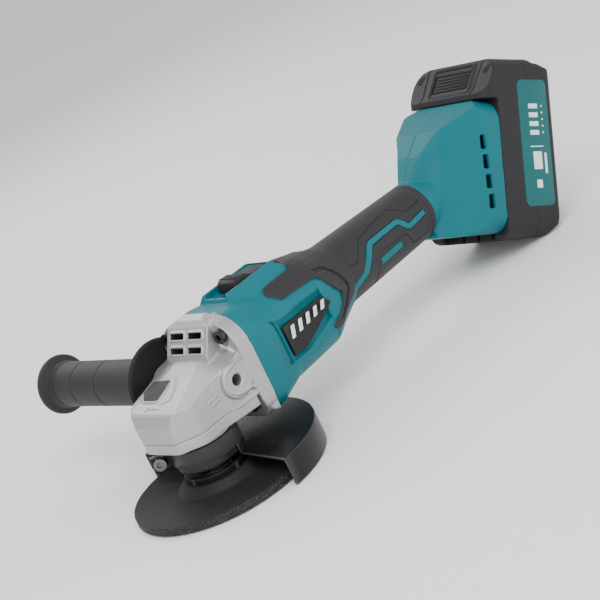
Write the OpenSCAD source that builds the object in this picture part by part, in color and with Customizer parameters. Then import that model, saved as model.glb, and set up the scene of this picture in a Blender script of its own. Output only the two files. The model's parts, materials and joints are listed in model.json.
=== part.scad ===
// Cordless angle grinder, 115 mm wheel, with a slide-on battery pack.
// X runs back along the motor and grip, Y towards the side handle, Z up along the spindle.
// The origin is on the spindle axis, halfway along the free end of the spindle thread.

/* [Wheel and spindle] */
// Diameter of the grinding wheel
wheel_d = 115; // [100:1:118]
// Thickness of the grinding wheel
wheel_t = 5.45; // [4:0.05:5.5]
// Diameter of the wheel's bore
wheel_bore_d = 22.23; // [22.2:0.01:22.5]
// Nominal diameter of the spindle thread
spindle_thread_d = 14; // [12:0.5:14]
// Diameter of the inner clamping flange
flange_d = 40; // [36:1:42]

/* [Gears] */
// Teeth on the crown gear
crown_teeth = 36; // [36:12:36]
// Teeth on the pinion
pinion_teeth = 12; // [12:1:12]
// Radius of the crown gear's pitch circle at its outer end
crown_pitch_r = 22; // [21:0.5:22]

/* [Gear head] */
// Half width of the nose of the gear case
nose_half_w = 28.6; // [27:0.1:29.5]
// How far the nose reaches in front of the spindle axis
nose_reach = 29.5; // [28:0.5:31]
// Half width of the flange that meets the motor housing
rear_flange_half_w = 35; // [34.8:0.1:36]
// Diameter of the side handle's threaded holes
handle_thread_d = 8; // [8:1:8]
// Distance between the two faces of the handle bosses
boss_span = 68.2; // [67:0.1:69]
// Radius of the neck that carries the guard
neck_r = 21; // [20.5:0.1:21]

/* [Guard] */
// Outer radius of the guard's skirt
guard_r = 67.2; // [64:0.1:70]
// Thickness of the guard's sheet
guard_t = 2; // [1.5:0.1:2.2]

/* [Side handle] */
// Length of the side handle from its collar to its outer end
handle_len = 117; // [100:1:130]
// Radius of the side handle's barrel
handle_r = 14.8; // [13:0.1:16]
// Radius of the collar beside the gear case
handle_collar_r = 27.5; // [25:0.1:27.5]
// Radius of the flange at the outer end
handle_end_r = 19.7; // [18:0.1:22]

/* [Housing] */
// Half width of the motor housing
housing_half_w = 34; // [33:0.1:34.5]
// Radius of the grip at its front
grip_front_r = 22.4; // [22:0.1:23]
// Radius of the grip at its rear
grip_rear_r = 20; // [19.8:0.1:20.5]
// Thickness of the rubber over the grip
rubber_t = 2; // [1.5:0.1:2.2]

/* [Battery] */
// Length of the battery pack along its slide
pack_len = 122.5; // [122:0.1:123]
// Half width of the battery pack
pack_half_w = 37.5; // [37:0.1:38]
// How far the battery pack leans back from upright
pack_tilt = 26; // [26:0.5:26]
// Number of cells in the pack
cell_count = 5; // [3:1:5]
// Diameter of one cell
cell_d = 18.3; // [18:0.1:18.5]

/* [Hidden] */
$fn = 64;

// Heights below are measured from the motor axis, which is axis_z above the origin.
axis_z = 59.7;
running_gap = 0.05;
seam_gap = 0.3;

// Spindle stack
wheel_top_z = -56;
wheel_bottom_z = wheel_top_z - wheel_t;
hub_top_z = -51;
flange_top_z = -47;
spindle_end_z = -61.4;
nut_face_z = -58;
spindle_r = spindle_thread_d / 2;
// Where the lock nut grips, its thread and the spindle's are drawn at the pitch line
spindle_pitch_r = spindle_r - 0.65;
thread_edge = 0.15;
wheel_web = wheel_t - 0.45;
nut_top_z = hub_top_z - wheel_web + 2;

// Gear head
case_bottom_z = -16.5;
retainer_bottom_z = -23.3;
neck_bottom_z = -43;
case_rear_x = 37.5;
flange_top_half_z = 32.5;
flange_bottom_half_z = 35;
handle_x = 17.9;
handle_z = -1.3;
boss_face_y = boss_span / 2;
boss_r = 11;
handle_hole_depth = 14;
front_screw_y = 25.5;
front_screw_z = 23.3;
retainer_screw_x = 16.5;
retainer_screw_y = 22;
vent_half_w = 19.5;
vent_top_z = 35.2;
lock_x = -7.5;
lock_y = 6.5;
lock_travel = 1.6;
spring_z = -0.2;
spring_len = 3.1;
lock_pin_top_z = 6.2;

// Gear geometry: the two pitch cones meet where the motor axis crosses the spindle axis.
ratio = crown_teeth / pinion_teeth;
crown_inner_r = 14;
tooth_module = 2 * crown_pitch_r / crown_teeth;
addendum = 0.75 * tooth_module;
dedendum = 0.95 * tooth_module;
crown_bottom_z = -14;

// Guard
guard_top_z = -43.5;
guard_skirt_z = -61.75;
band_top_z = -27.8;
band_bottom_z = -38.2;
band_r = neck_r + 1.4;

// Motor and housing
shaft_r = 4;
pinion_bore_r = 3.4;
motor_cavity_r = 28.6;
motor_front_x = 55;
motor_len = 34;
fan_x = 43.8;
flange_len = 8;
waist_x = 66;
housing_end_x = 110;
shoulder_x = 120;
grip_start_x = 140;
grip_end_x = 228;
pocket_top_z = 37.2;
grip_bore_r = 16.5;
pocket_floor_z = 32.2;
badge_floor_y = 31;
screw_head_y = 16;

// Battery frame: x points back from the slide face, z up along the slide.
pack_origin = [291.5, 0, 11.5];
pack_bottom_z = -pack_len / 2 - 0.75;
pack_top_z = pack_len / 2 - 0.75;
pack_depth = 57.5;
pack_seam_x = 30;
bell_top_z = 32.5;
bell_half_w = pack_half_w - 0.3;
bell_wall = 2.8;
foot_half_w = 27;
foot_depth = 8.5;
cell_pitch = 19.2;
cell_x = 37;
cell_mid_z = -1.5;
cell_len = 65;

// ---------- helpers ----------

// Raises what is drawn about the motor axis to its height above the origin.
module at_axis() {
    translate([0, 0, axis_z]) children();
}

// The leaning frame of the battery pack and of the foot that carries it.
module at_pack() {
    at_axis() translate(pack_origin) rotate([0, pack_tilt, 0]) children();
}

// A cylinder along X from x0.
module rod_x(x0, len, r) {
    translate([x0, 0, 0]) rotate([0, 90, 0]) cylinder(h = len, r = r);
}

// A cylinder along Y from y0.
module rod_y(y0, len, r) {
    translate([0, y0, 0]) rotate([-90, 0, 0]) cylinder(h = len, r = r);
}

// A cylinder along Z from z0.
module rod_z(z0, len, r) {
    translate([0, 0, z0]) cylinder(h = len, r = r);
}

// A tube along Z.
module tube_z(z0, len, r_out, r_in) {
    difference() {
        rod_z(z0, len, r_out);
        rod_z(z0 - 1, len + 2, r_in);
    }
}

// A tube along X.
module tube_x(x0, len, r_out, r_in) {
    difference() {
        rod_x(x0, len, r_out);
        rod_x(x0 - 1, len + 2, r_in);
    }
}

// Extrudes an outline drawn in (y, z) along X.
module prism_x(x0, len) {
    translate([x0, 0, 0]) rotate([90, 0, 90]) linear_extrude(len) children();
}

// Extrudes an outline drawn in (x, z) along Y, centred on y = 0.
module prism_y(width) {
    rotate([90, 0, 0]) linear_extrude(width, center = true) children();
}

// Keeps one side of the object: side is 1 for +Y and -1 for -Y.
module half(side) {
    intersection() {
        children();
        translate([-100, side > 0 ? seam_gap / 6 : -200 - seam_gap / 6, -200]) cube([600, 200, 400]);
    }
}

// Points of a quarter circle of radius r about c, from angle a0, in steps.
function quarter(c, r, a0, steps = 7) =
    [for (i = [0 : steps]) c + r * [cos(a0 + i * 90 / steps), sin(a0 + i * 90 / steps)]];

// An outline with round corners: half width, lowest and highest point, corner radii.
// shrink draws it smaller all round.
module rounded_outline(half_w, low, high, r_low, r_high, shrink = 0) {
    w = half_w - shrink;
    rl = r_low - shrink;
    rh = r_high - shrink;
    polygon(concat(
        quarter([w - rh, high - shrink - rh], rh, 0), quarter([rh - w, high - shrink - rh], rh, 90),
        quarter([rl - w, low + shrink + rl], rl, 180), quarter([w - rl, low + shrink + rl], rl, 270)));
}

// A cross hair of holes at (+-x, +-y).
module at_corners(x, y) {
    for (sx = [-1, 1]) for (sy = [-1, 1]) translate([sx * x, sy * y, 0]) children();
}

// The outer race of a ball bearing, along Z from z0.
module race_outer(z0, width, r_out, r_mid, ball_r) {
    difference() {
        tube_z(z0, width, r_out, r_mid + ball_r * 0.55);
        translate([0, 0, z0 + width / 2]) rotate_extrude() translate([r_mid, 0]) circle(ball_r + running_gap, $fn = 32);
    }
}

// The inner race of a ball bearing with its balls, along Z from z0.
module race_inner(z0, width, r_in, r_mid, ball_r, balls) {
    tube_z(z0, width, r_mid - ball_r * 0.55, r_in);
    for (i = [0 : balls - 1])
        rotate([0, 0, i * 360 / balls]) translate([r_mid, 0, z0 + width / 2]) sphere(ball_r, $fn = 24);
}

// A hexagon socket screw along -Z: head_r and head_h above z = 0, shank below.
module screw(head_r, head_h, shank_r, len) {
    difference() {
        union() {
            cylinder(h = head_h, r = head_r);
            translate([0, 0, -len]) cylinder(h = len + 0.1, r = shank_r);
        }
        translate([0, 0, head_h * 0.4]) cylinder(h = head_h, r = head_r * 0.5, $fn = 6);
    }
}

// ---------- gear head ----------

// Plan of the nose and its flare towards the rear flange.
module case_plan() {
    corner = 8;
    w = nose_half_w - corner;
    offset(r = corner, $fn = 48) polygon([
        [-nose_reach + corner, 8 - w], [-nose_reach + corner + 8, -w], [2, -w], [12, -w - 2.5],
        [24, -w - 4.5], [case_rear_x, -w - 5.8], [case_rear_x, w + 5.8], [24, w + 4.5],
        [12, w + 2.5], [2, w], [-nose_reach + corner + 8, w], [-nose_reach + corner, w - 8]]);
}

// Side view of the nose and the deck that climbs to the vent block.
module case_profile() {
    polygon([[-nose_reach, case_bottom_z], [-nose_reach + 1, -6], [-nose_reach + 3.5, 0.3],
             [-nose_reach + 5.5, 1.8], [16, 14], [30, 19], [case_rear_x, 21],
             [case_rear_x, -33], [32, -31], [29, -20], [26, case_bottom_z]]);
}

// A slab above the sloping facet on one side of the deck.
module deck_facet(side) {
    mirror([0, side > 0 ? 1 : 0, 0]) translate([14, -8, 14]) rotate([11.6, -13.7, 0])
        translate([-70, -60, 0]) cube([140, 60, 60]);
}

// Side view of the raised block with the exhaust slots.
module vent_profile() {
    polygon([[13, 5], [15.5, 16.5], [25, 31], [28.5, 34.3], [33, vent_top_z], [35.5, vent_top_z], [35.5, 5]]);
}

module vent_block() {
    difference() {
        prism_y(2 * vent_half_w) vent_profile();
        for (side = [-1, 1]) mirror([0, side > 0 ? 1 : 0, 0])
            translate([20, -vent_half_w + 9, vent_top_z]) rotate([24, 0, 0]) translate([-30, -30, 0]) cube([70, 60, 30]);
    }
}

// Slots through the sloping face of the vent block, in two rows and two columns.
module vent_slots() {
    face_angle = 32;
    for (row = [0, 1]) for (side = [-1, 1])
        translate([17.4 + row * 4.6, side * 8.6, 19.6 + row * 7.4]) rotate([0, face_angle, 0])
            translate([-8, -6.4, -1.9]) cube([30, 12.8, 3.8]);
}

// The rear flange slab, with a front edge that is cut back.
module rear_flange() {
    intersection() {
        prism_x(27.5, case_rear_x - 27.5)
            flange_section(0);
        prism_y(100) polygon([[32, -40], [case_rear_x, -40], [case_rear_x, 40], [32, 40],
            [28, 30], [27.5, 20], [27.5, -22], [29.5, -30]]);
    }
}

module gear_case() {
    color("silver") at_axis() difference() {
        union() {
            difference() {
                intersection() {
                    translate([0, 0, -40]) linear_extrude(90) case_plan();
                    prism_y(100) case_profile();
                }
                for (side = [-1, 1]) deck_facet(side);
            }
            vent_block();
            rear_flange();
            translate([handle_x, 0, handle_z]) rod_y(-boss_face_y, boss_span, boss_r);
        }
        intersection() {
            rod_z(-30, 29.5, 24.6);
            prism_y(100) polygon([[-24, -30], [-24, -3], [-16, -1], [20, -1], [27, -5], [27, -30]]);
        }
        rod_x(11, 30, 9.3);
        rod_x(29.5, 20, 13 + running_gap);
        rod_z(-5, 10, 6 + running_gap);
        for (side = [-1, 1]) translate([handle_x, 0, handle_z])
            rod_y(side > 0 ? boss_face_y - handle_hole_depth : -boss_face_y - 1, handle_hole_depth + 1, handle_thread_d / 2);
        translate([lock_x, lock_y, 0]) {
            rod_z(-20, 40, 2.05);
            rod_z(spring_z, 40, 3.6);
        }
        lock_pad(0.35, -2 - lock_travel, 20);
        vent_slots();
        translate([30, -13, 19]) cube([12, 26, 9]);
        for (sy = [-1, 1]) for (sz = [-1, 1]) translate([0, sy * front_screw_y, sz * front_screw_z]) {
            rod_x(20, 30, 2.6);
            rod_x(10, 18, 5);
        }
        at_corners(retainer_screw_x, retainer_screw_y) rod_z(-30, 22, 2.1);
    }
}

module bearing_retainer() {
    color("silver") at_axis() difference() {
        union() {
            intersection() {
                translate([0, 0, retainer_bottom_z]) linear_extrude(case_bottom_z - retainer_bottom_z) case_plan();
                translate([-40, -40, -30]) cube([66, 80, 20]);
            }
            rod_z(neck_bottom_z, case_bottom_z - neck_bottom_z, neck_r);
        }
        rod_z(-28, 20, 17.5 + running_gap);
        rod_z(-60, 60, 15);
        rod_z(-44, 5, 16);
        at_corners(retainer_screw_x, retainer_screw_y) {
            rod_z(-30, 20, 2.6);
            rod_z(-30, 9.2, 3.9);
        }
        for (sy = [-1, 1]) translate([0, sy * front_screw_y, -front_screw_z]) rod_x(20, 10, 5);
    }
}

module retainer_screws() {
    color("dimgray") at_axis() at_corners(retainer_screw_x, retainer_screw_y)
        translate([0, 0, retainer_bottom_z + 2.5]) rotate([180, 0, 0]) screw(3.5, 2.3, 2.05, 12);
}

module front_screws() {
    color("black") at_axis() for (sy = [-1, 1]) for (sz = [-1, 1])
        translate([28, sy * front_screw_y, sz * front_screw_z]) rotate([0, -90, 0]) screw(4.4, 3.6, 2.5, 20);
}

// The lock button's shape on the sloping deck, grown by gap, between two heights above the deck.
module lock_pad(gap, low, high) {
    intersection() {
        translate([0, 0, -20]) linear_extrude(60) offset(r = 1.2 + gap, $fn = 24)
            polygon([[-14, 3], [-14, 15], [-9, 19.5], [-2, 17.5], [-1, 4.5], [-7, 3]]);
        prism_y(60) polygon([[-30, low], [16, 14 + low], [16, 14 + high], [-30, high]]);
    }
}

module lock_button() {
    color("dimgray") at_axis() difference() {
        lock_pad(0, -1.4, 1);
        translate([lock_x, lock_y, 0]) rod_z(0, lock_pin_top_z, 2);
    }
}

module lock_pin() {
    color("silver") at_axis() translate([lock_x, lock_y, 0]) {
        rod_z(-5.7, lock_pin_top_z + 5.7, 2);
        rod_z(spring_z + spring_len + 0.05, 0.8, 3.3);
    }
}

module lock_spring() {
    turns = 2.5;
    color("silver") at_axis() translate([lock_x, lock_y, spring_z])
        linear_extrude(spring_len, twist = -360 * turns, slices = 30) translate([2.75, 0]) circle(0.35, $fn = 6);
}

// ---------- spindle ----------

module spindle() {
    color("silver") at_axis() difference() {
        union() {
            rod_z(-5, 9.5, 4);
            rod_z(-16.9, 12.5, 6);
            rod_z(-28, 11.1, 7.5);
            rod_z(flange_top_z, 19, 9);
            rod_z(nut_top_z, flange_top_z - nut_top_z, spindle_r);
            rod_z(nut_face_z - thread_edge, nut_top_z - nut_face_z + 2 * thread_edge, spindle_pitch_r);
            rod_z(spindle_end_z + thread_edge, nut_face_z - spindle_end_z - 2 * thread_edge, spindle_r);
            rod_z(spindle_end_z, 1, spindle_r - 0.5);
        }
        rod_z(spindle_end_z - 1, 7, 2.5);
    }
}

module spindle_bearing_outer() {
    color("silver") at_axis() race_outer(-28, 11, 17.5, 12.5, 3);
}

module spindle_bearing_inner() {
    color("silver") at_axis() race_inner(-28, 11, 7.5, 12.5, 3, 9);
}

module spindle_top_bush() {
    color("goldenrod") at_axis() tube_z(-3.6, 7.9, 6, 4 + running_gap);
}

module spindle_seal() {
    color("black") at_axis() tube_z(-33, 3.5, 15, 9.1);
}

// One tooth of the crown gear: it tapers towards the point where the shafts cross.
module crown_tooth() {
    outer = crown_pitch_r + 0.4;
    inner = crown_inner_r;
    half_thick = 0.19 * 360 / crown_teeth;
    function at(r, spread, up) = [r * cos(spread), r * sin(spread), -r / ratio + up * r / crown_pitch_r];
    polyhedron(
        points = [at(inner, -half_thick * 1.35, -dedendum - 0.6), at(inner, half_thick * 1.35, -dedendum - 0.6),
                  at(outer, half_thick * 1.35, -dedendum - 0.6), at(outer, -half_thick * 1.35, -dedendum - 0.6),
                  at(inner, -half_thick * 0.7, addendum), at(inner, half_thick * 0.7, addendum),
                  at(outer, half_thick * 0.7, addendum), at(outer, -half_thick * 0.7, addendum)],
        faces = [[3, 2, 1, 0], [4, 5, 6, 7], [1, 5, 4, 0], [2, 6, 5, 1], [3, 7, 6, 2], [0, 4, 7, 3]]);
}

module crown_gear() {
    root = dedendum / crown_pitch_r;
    color("dimgray") at_axis() {
        difference() {
            rotate_extrude() polygon([
                [6, crown_bottom_z], [crown_pitch_r + 0.4, crown_bottom_z],
                [crown_pitch_r + 0.4, -(crown_pitch_r + 0.4) * (1 / ratio + root)],
                [crown_inner_r, -crown_inner_r * (1 / ratio + root)],
                [crown_inner_r - 0.6, -6], [6, -6]]);
            for (i = [0 : 3]) rotate([0, 0, i * 90]) translate([lock_x, lock_y, 0]) rod_z(-11, 12, 2.4);
        }
        for (i = [0 : crown_teeth - 1]) rotate([0, 0, (i + 0.5) * 360 / crown_teeth]) hull() crown_tooth();
    }
}

module gear_clip() {
    color("silver") at_axis() difference() {
        tube_z(-16.4, 1.2, 8, 6);
        translate([0, -1.5, -20]) cube([12, 3, 10]);
    }
}

module inner_flange() {
    color("dimgray") at_axis() difference() {
        union() {
            rod_z(hub_top_z, flange_top_z - hub_top_z, flange_d / 2);
            rod_z(hub_top_z - 1.8, 2, wheel_bore_d / 2 - running_gap);
        }
        rod_z(-60, 20, spindle_r + running_gap);
        translate([0, 0, flange_top_z]) rotate_extrude() translate([15, 0]) circle(1.2, $fn = 32);
    }
}

// Depressed-centre wheel: its hub sits higher than its rim.
module grinding_wheel() {
    color("dimgray") at_axis() rotate_extrude($fn = 128) polygon([
        [wheel_bore_d / 2, hub_top_z], [22, hub_top_z], [27.5, wheel_top_z],
        [wheel_d / 2, wheel_top_z], [wheel_d / 2, wheel_bottom_z], [26.5, wheel_bottom_z],
        [21.3, hub_top_z - wheel_web], [wheel_bore_d / 2, hub_top_z - wheel_web]]);
}

module lock_nut() {
    nut_r = 16.5;
    color("dimgray") at_axis() difference() {
        union() {
            rod_z(nut_face_z, hub_top_z - wheel_web - nut_face_z, nut_r);
            rod_z(hub_top_z - wheel_web - 0.1, 2.1, wheel_bore_d / 2 - running_gap);
        }
        rod_z(-70, 30, spindle_pitch_r + running_gap);
        for (s = [-1, 1]) translate([s * 12.6, 0, 0]) rod_z(-60, 3.6, 2.2);
    }
}

// ---------- guard ----------

module wheel_guard() {
    color([0.08, 0.08, 0.09]) at_axis() difference() {
        intersection() {
            union() {
                rod_z(guard_top_z - guard_t, guard_t, guard_r);
                tube_z(guard_skirt_z, guard_top_z - guard_skirt_z, guard_r, guard_r - guard_t);
                rod_z(guard_top_z - guard_t, band_bottom_z - guard_top_z + guard_t, band_r);
            }
            linear_extrude(200, center = true)
                polygon([[7, -10], [-0.4, -70], [90, -70], [90, 70], [-0.4, 70], [7, 10]]);
        }
        rod_z(-80, 80, neck_r + running_gap * 2);
    }
}

ear_gap_angle = 136;
ear_bolt_r = neck_r + 7.4;
ear_bolt_z = -32.5;
ear_half_angle = 13;

// Band round the neck whose two ends are folded out as ears for the screw.
module guard_clamp() {
    ear_top = band_top_z + 0.6;
    ear_h = ear_top - band_bottom_z - 0.5;
    color([0.1, 0.1, 0.11]) at_axis() difference() {
        union() {
            difference() {
                tube_z(band_bottom_z, band_top_z - band_bottom_z, band_r, neck_r + running_gap * 2);
                rotate([0, 0, ear_gap_angle]) translate([10, -4, -60]) cube([30, 8, 60]);
            }
            for (side = [-1, 1]) rotate([0, 0, ear_gap_angle])
                translate([neck_r + 0.2, side > 0 ? -6.2 : 4, ear_top - ear_h]) cube([side > 0 ? 15.4 : 12.4, 2.2, ear_h]);
        }
        rotate([0, 0, ear_gap_angle]) translate([ear_bolt_r, 0, ear_bolt_z]) rod_y(-20, 40, 2.6);
    }
}

module guard_screw() {
    color("gray") at_axis() rotate([0, 0, ear_gap_angle]) translate([ear_bolt_r, 6.3, ear_bolt_z])
        rotate([-90, 0, 0]) screw(4, 3, 2.5, 17.5);
}

module guard_nut() {
    color("gray") at_axis() rotate([0, 0, ear_gap_angle]) translate([ear_bolt_r, 0, ear_bolt_z])
        rotate([90, 0, 0]) difference() {
            translate([0, 0, 6.3]) cylinder(h = 4, r = 4.4, $fn = 6);
            cylinder(h = 20, r = 2.55);
        }
}

// ---------- side handle ----------

module handle_grip() {
    y0 = boss_face_y + 0.4;
    end_y = y0 + handle_len;
    dish_y = rear_flange_half_w + 0.5;
    hub_r = case_rear_x - handle_x - 10.9;
    color("dimgray") at_axis() translate([handle_x, 0, handle_z]) rotate([-90, 0, 0]) difference() {
        rotate_extrude() polygon([
            [0, y0], [hub_r, y0], [hub_r, dish_y], [handle_collar_r - 1.5, dish_y],
            [handle_collar_r, dish_y + 1.2], [handle_collar_r, dish_y + 2.4], [handle_collar_r - 2, dish_y + 3.6],
            [handle_r + 3, dish_y + 5], [handle_r + 0.6, dish_y + 8],
            [handle_r, y0 + 16], [handle_r, end_y - 12], [handle_r + 0.8, end_y - 7],
            [handle_end_r - 1, end_y - 5.4], [handle_end_r, end_y - 4.4], [handle_end_r, end_y - 1.5],
            [handle_end_r - 1.5, end_y], [handle_end_r - 5, end_y], [handle_end_r - 6.5, end_y - 1.5], [0, end_y - 1.5]]);
        translate([0, 0, y0 - 1]) cylinder(h = 31, r = handle_thread_d / 2);
    }
}

module handle_stud() {
    stud_r = handle_thread_d / 2 - running_gap;
    color("silver") at_axis() translate([handle_x, 0, handle_z])
        rod_y(boss_face_y - handle_hole_depth + 1.5, handle_hole_depth + 28, stud_r);
}

// ---------- housing ----------

// Sections of the housing: where it meets the gear case, its waist, its end and its shoulder.
module flange_section(shrink) {
    rounded_outline(rear_flange_half_w, -flange_bottom_half_z, flange_top_half_z, 12, 20, shrink);
}

module waist_section(shrink) {
    rounded_outline(housing_half_w, -31.5, 31, 18, 30, shrink);
}

module end_section(shrink) {
    rounded_outline(housing_half_w - 2.5, -32, 29.2, 23, 28, shrink);
}

module shoulder_section(shrink) {
    rounded_outline(housing_half_w - 6.5, -28.5, 26.8, 22, 25, shrink);
}

// The outer form of the motor housing up to the start of the grip.
module motor_body(shrink) {
    prism_x(case_rear_x + seam_gap, flange_len) flange_section(shrink);
    hull() {
        prism_x(case_rear_x + seam_gap + flange_len - 0.1, 0.1) flange_section(shrink);
        prism_x(waist_x, 0.1) waist_section(shrink);
    }
    hull() {
        prism_x(waist_x, 0.1) waist_section(shrink);
        prism_x(housing_end_x, 0.1) end_section(shrink);
    }
}

// The neck-down from the motor housing to the round grip, and the grip itself.
module grip_body(shrink) {
    hull() {
        prism_x(housing_end_x, 0.1) end_section(shrink);
        prism_x(shoulder_x, 0.1) shoulder_section(shrink);
    }
    hull() {
        prism_x(shoulder_x, 0.1) shoulder_section(shrink);
        rod_x(grip_start_x, 0.1, grip_front_r - shrink);
    }
    translate([grip_start_x, 0, 0]) rotate([0, 90, 0])
        cylinder(h = grip_end_x - grip_start_x, r1 = grip_front_r - shrink, r2 = grip_rear_r - shrink);
}

// The housing's rear bell, drawn in the pack's frame.
module bell_body(shrink = 0) {
    intersection() {
        prism_y(2 * pack_half_w) offset(delta = -shrink) polygon([
            [-46, -57.4], [shrink, -57.4], [shrink, bell_top_z], [-12, bell_top_z], [-42, 13], [-52, -3], [-57.2, -18.4]]);
        translate([0, 0, -100]) linear_extrude(200) offset(delta = -shrink) polygon([
            [shrink, -bell_half_w], [-12, -bell_half_w], [-25, -30], [-42, -19.5], [-48, -13.5],
            [-60, -4], [-60, 4], [-48, 13.5], [-42, 19.5], [-25, 30], [-12, bell_half_w],
            [shrink, bell_half_w]]);
        prism_x(-70, 75) rounded_outline(pack_half_w, -57.4, bell_top_z, 13, 16, shrink);
    }
}

// What the two housing halves leave open: motor bay, grip bore, switch slot and bell room.
module housing_bays() {
    rod_x(30, 74.5, motor_cavity_r);
    translate([104.4, 0, 0]) rotate([0, 90, 0]) cylinder(h = 23.6, r1 = 22, r2 = grip_bore_r);
    rod_x(120, 126, grip_bore_r);
    for (sy = [-1, 1]) for (sz = [-1, 1])
        translate([0, sy * front_screw_y, sz * front_screw_z]) rod_x(36, 13, 2.6);
    translate(pack_origin) rotate([0, pack_tilt, 0]) {
        difference() {
            intersection() {
                bell_body(bell_wall);
                translate([-100, -50, -80]) cube([96.5, 100, 160]);
            }
            for (p = bell_screw_places) translate([p[0], 0, p[1]]) rod_y(-50, 100, 5);
        }
        translate([-5, -foot_half_w + 6, -44]) cube([10, 2 * foot_half_w - 12, 62]);
        for (side = [-1, 1]) for (i = [0 : 3])
            translate([-15.2 + i * 1.05, side * 36, 3.7 - i * 13.2]) rotate([0, -4, 0])
                cube([3.2, 12, 9.4], center = true);
    }
    translate([54, -10.2, pocket_floor_z]) cube([39.4, 20.4, 20]);
    translate([55, -3.6, 20]) cube([22, 7.2, 20]);
    translate([99, -4, 11]) cube([11, 8, 17.2]);
}

// Raised rim round the slide switch.
module switch_pocket() {
    difference() {
        prism_y(46) polygon([[47.5, 22], [50, 31], [53.3, pocket_top_z], [93.5, pocket_top_z], [101, 29.5], [101, 22]]);
        for (side = [-1, 1]) mirror([0, side > 0 ? 1 : 0, 0])
            translate([30, -12, pocket_top_z]) rotate([58, 0, 0]) translate([0, -40, 0]) cube([90, 60, 20]);
        translate([45, -10.2, pocket_top_z - 2.2]) cube([12, 20.4, 5]);
    }
}

module housing_solid() {
    difference() {
        union() {
            motor_body(0);
            grip_body(rubber_t);
            rod_x(grip_end_x, 15, grip_rear_r);
            translate(pack_origin) rotate([0, pack_tilt, 0]) bell_body();
            switch_pocket();
        }
        housing_bays();
        for (side = [-1, 1]) badge_block(side, 0.1);
        at_screw_places() {
            rod_y(-9, 30, 1.9);
            rod_y(screw_head_y, 40, 4.2);
        }
    }
}

// Screws through both halves of the motor housing, by x and z, and of the bell, by the pack's x and z.
body_screw_places = [[111, -25]];
bell_screw_places = [[-20, 20], [-22, -46]];

module at_screw_places() {
    for (p = body_screw_places) translate([p[0], 0, p[1]]) children();
    translate(pack_origin) rotate([0, pack_tilt, 0])
        for (p = bell_screw_places) translate([p[0], 0, p[1]]) children();
}

// The upright block the badge on one side of the motor housing is cut from.
module badge_block(side, gap) {
    mirror([0, side > 0 ? 0 : 1, 0]) translate([0, 45, 0]) rotate([90, 0, 0])
        linear_extrude(45 - badge_floor_y + gap / 2)
            offset(delta = gap) polygon([[64, 6.4], [102.5, 6.4], [109, -1], [76, -13.5], [64, -12.8]]);
}

module side_badge(side) {
    color([0.15, 0.15, 0.16]) at_axis() intersection() {
        badge_block(side, 0);
        motor_body(0.25);
    }
}

module side_badge_right() { side_badge(-1); }

module side_badge_left() { side_badge(1); }

module housing_right() {
    color("teal") at_axis() half(-1) housing_solid();
}

module housing_left() {
    color("teal") at_axis() half(1) housing_solid();
}

// The rubber over the grip, bonded to one half of the housing.
module grip_rubber(side) {
    color([0.3, 0.3, 0.31]) at_axis() half(side) difference() {
        grip_body(0);
        grip_body(rubber_t);
        motor_body(0);
        housing_bays();
        translate(pack_origin) rotate([0, pack_tilt, 0]) bell_body();
        at_screw_places() rod_y(screw_head_y, 40, 4.2);
    }
}

module grip_rubber_right() { grip_rubber(-1); }

module grip_rubber_left() { grip_rubber(1); }

module housing_screws() {
    color("black") at_axis() at_screw_places()
        translate([0, screw_head_y + 0.1, 0]) rotate([-90, 0, 0]) screw(3.8, 2.6, 1.85, 24);
}

// ---------- switch ----------

module switch_slider() {
    color("dimgray") at_axis() difference() {
        union() {
            prism_y(16) polygon([[63.5, 33], [64.5, 38.6], [67, 40.6], [74, 40], [79, 36.8], [92, 36.4], [92, 33]]);
            translate([64.5, -9.6, pocket_floor_z + 0.1]) cube([27.5, 19.2, 1.8]);
        }
        for (i = [0 : 3]) translate([66.5 + i * 2, -10, 39.9]) cube([0.9, 20, 2]);
        translate([66.9, -3.1, 30]) cube([2.6, 6.2, 6]);
    }
}

module switch_rod() {
    color("black") at_axis() {
        translate([67, -3, 26.2]) cube([41, 6, 1.6]);
        translate([67, -3, 27.7]) cube([2.4, 6, 8]);
        translate([106, -3, 12]) cube([2, 6, 14.3]);
    }
}

module switch_module() {
    color("black") at_axis() difference() {
        translate([109, -8, 2]) cube([18, 16, 11]);
        translate([125, -6, 5]) cube([3, 12, 2]);
    }
}

// ---------- motor ----------

// The pinion's teeth taper towards the point where the shafts cross.
module pinion() {
    r_out = crown_pitch_r / ratio;
    pitch_angle = 360 / pinion_teeth;
    tip = r_out + addendum * 0.95;
    root = r_out - dedendum * 0.95;
    profile = [for (i = [0 : pinion_teeth - 1]) for (k = [[-0.28, root], [-0.11, tip], [0.11, tip], [0.28, root]])
        k[1] * [cos((i + k[0]) * pitch_angle), sin((i + k[0]) * pitch_angle)]];
    color("dimgray") at_axis() difference() {
        union() {
            translate([crown_pitch_r, 0, 0]) rotate([0, -90, 0])
                linear_extrude(crown_pitch_r - crown_inner_r, scale = crown_inner_r / crown_pitch_r) polygon(profile);
            rod_x(crown_pitch_r - 0.1, 4.1, 6);
        }
        rod_x(0, 60, pinion_bore_r);
    }
}

module rotor_shaft() {
    color("silver") at_axis() difference() {
        union() {
            rod_x(12.5, 15, pinion_bore_r);
            rod_x(26.1, 75.4, shaft_r);
            rod_x(29.7, 8.1, 5);
        }
        translate([12, 2.6, -5]) cube([2, 4, 10]);
    }
}

module rotor_magnet() {
    color([0.35, 0.35, 0.38]) at_axis() tube_x(motor_front_x, motor_len, 13, shaft_r);
}

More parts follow.
